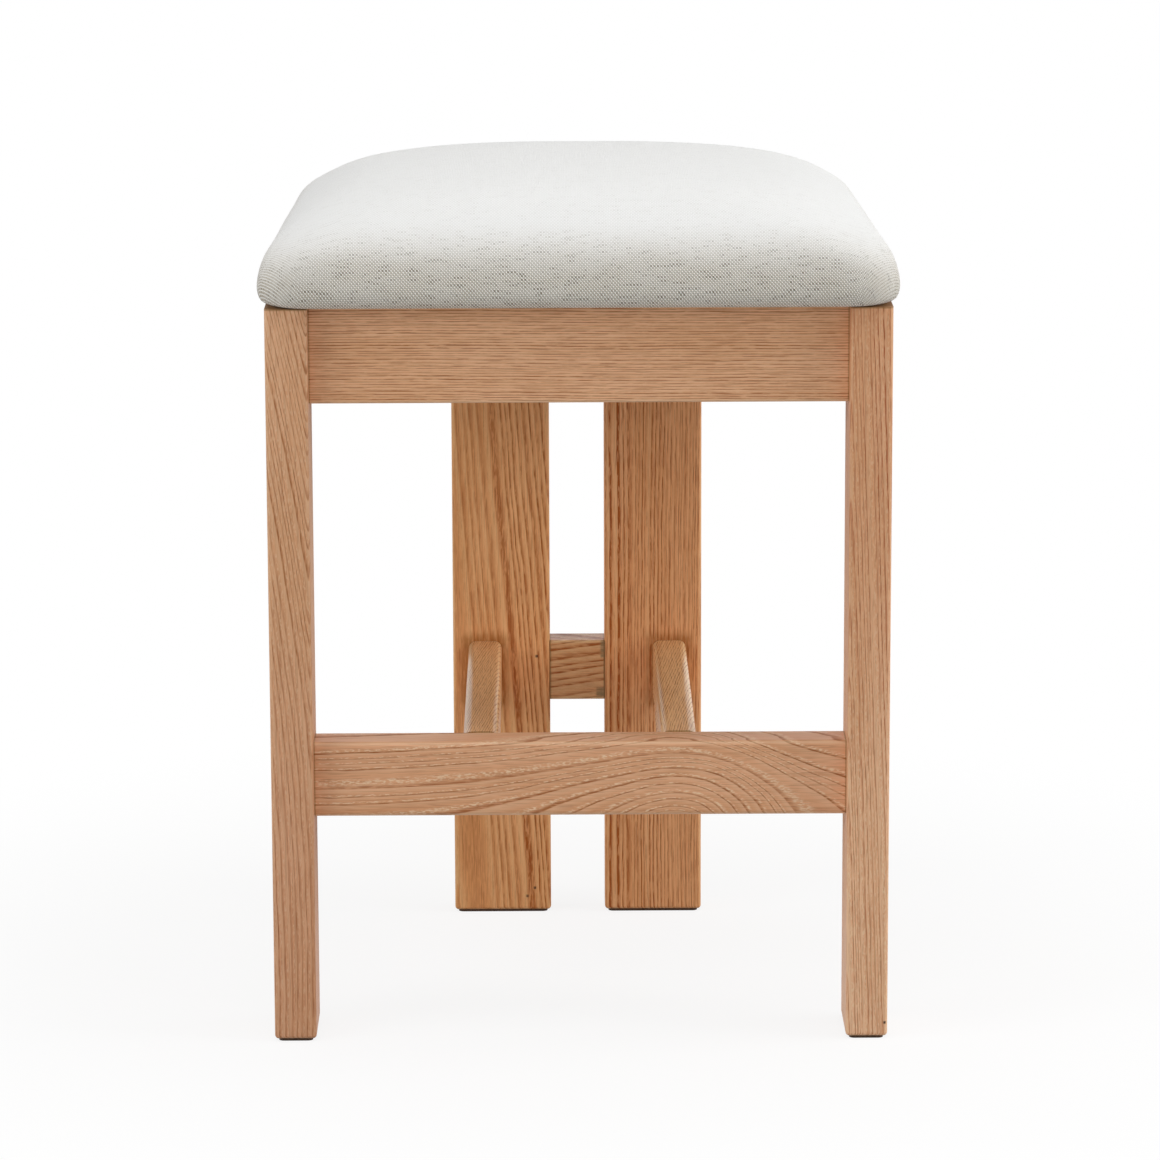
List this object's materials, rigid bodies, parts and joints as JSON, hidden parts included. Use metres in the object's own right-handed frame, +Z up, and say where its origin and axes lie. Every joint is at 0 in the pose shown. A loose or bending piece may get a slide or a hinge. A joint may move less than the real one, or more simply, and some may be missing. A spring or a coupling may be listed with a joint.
{
  "type": "kitchen stool",
  "caption": "Counter-height kitchen stool: crowned padded linen seat on an ash frame with plank legs, paired back legs, a foot rest and lower rails.",
  "frame": {"origin": "on the floor, under the middle of the seat", "axes": "+Z up, -Y towards the front (the foot rest's side), +X to the right seen from the front"},
  "size_m": [0.4852, 0.4282, 0.6628],
  "materials": {
    "ash_wood": "satin oil, warm tan ash grain",
    "block_wood": "raw sawn",
    "dowel_wood": "turned beech",
    "plywood": "raw plywood",
    "screw_steel": "zinc plated",
    "staple_wire": "galvanised wire",
    "foot_felt": "dark pressed felt",
    "linen_cover": "off-white plain-weave linen",
    "wadding": "white fibre wadding",
    "seat_foam": "open-cell foam",
    "dust_cloth": "black spun-bonded cloth"
  },
  "bodies": {
    "root": {"back_apron": "ash_wood", "back_foot_pad_left": "foot_felt", "back_foot_pad_right": "foot_felt", "back_leg_left": "ash_wood", "back_leg_right": "ash_wood", "back_leg_screws": "screw_steel", "back_rail": "ash_wood", "back_rail_dowels": "dowel_wood", "corner_block_back_left": "block_wood", "corner_block_back_right": "block_wood", "corner_block_front_left": "block_wood", "corner_block_front_right": "block_wood", "corner_block_screws": "screw_steel", "cover_staples": "staple_wire", "dust_cover": "dust_cloth", "front_apron": "ash_wood", "front_apron_dowels": "dowel_wood", "front_foot_pad_left": "foot_felt", "front_foot_pad_right": "foot_felt", "front_leg_left": "ash_wood", "front_leg_right": "ash_wood", "front_stretcher": "ash_wood", "front_stretcher_dowels": "dowel_wood", "seat_board": "plywood", "seat_cover": "linen_cover", "seat_foam": "seat_foam", "seat_screws": "screw_steel", "seat_wadding": "wadding", "side_apron_dowels": "dowel_wood", "side_apron_left": "ash_wood", "side_apron_right": "ash_wood", "side_rail_dowels": "dowel_wood", "side_rail_left": "ash_wood", "side_rail_right": "ash_wood"}
  },
  "joints": []
}
